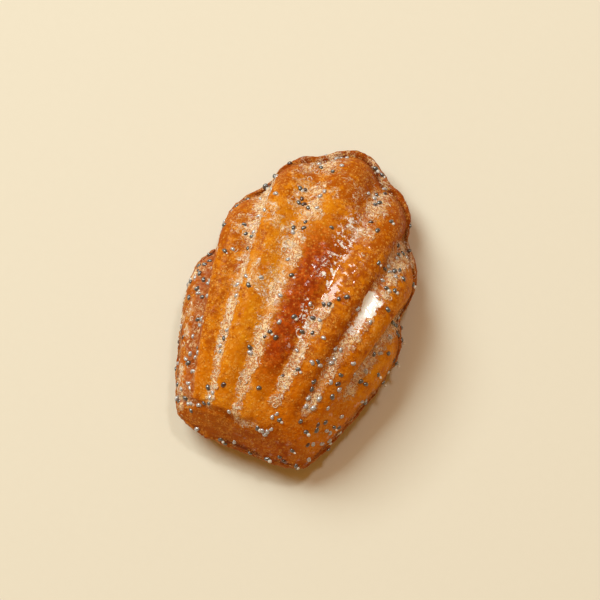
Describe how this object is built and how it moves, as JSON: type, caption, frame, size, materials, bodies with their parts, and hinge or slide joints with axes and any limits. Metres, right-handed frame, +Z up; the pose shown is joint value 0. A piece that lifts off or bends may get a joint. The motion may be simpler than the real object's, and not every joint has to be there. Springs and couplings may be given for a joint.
{
  "type": "madeleine cake",
  "caption": "Small shell-shaped sponge cake with a ribbed crown, a thin scalloped rim and a low hump underneath, glazed and strewn with poppy seeds.",
  "frame": {"origin": "on the surface the cake stands on, under the middle of its outline", "axes": "+Y from the narrow hinge end to the scalloped fan tip, +Z up out of the ribbed crown, +X to the right when +Y points away from the viewer"},
  "size_m": [0.0516, 0.0764, 0.0238],
  "materials": {
    "crust": "browned sponge crust under a thin, half-dried sugar glaze",
    "poppy_seed": "dry blue-grey seed with a pitted coat",
    "sugar_glaze": "thin water-and-sugar glaze, clear where wet and crystallised to cream where dry"
  },
  "bodies": {
    "root": {"madeleine": "crust"}
  },
  "joints": []
}
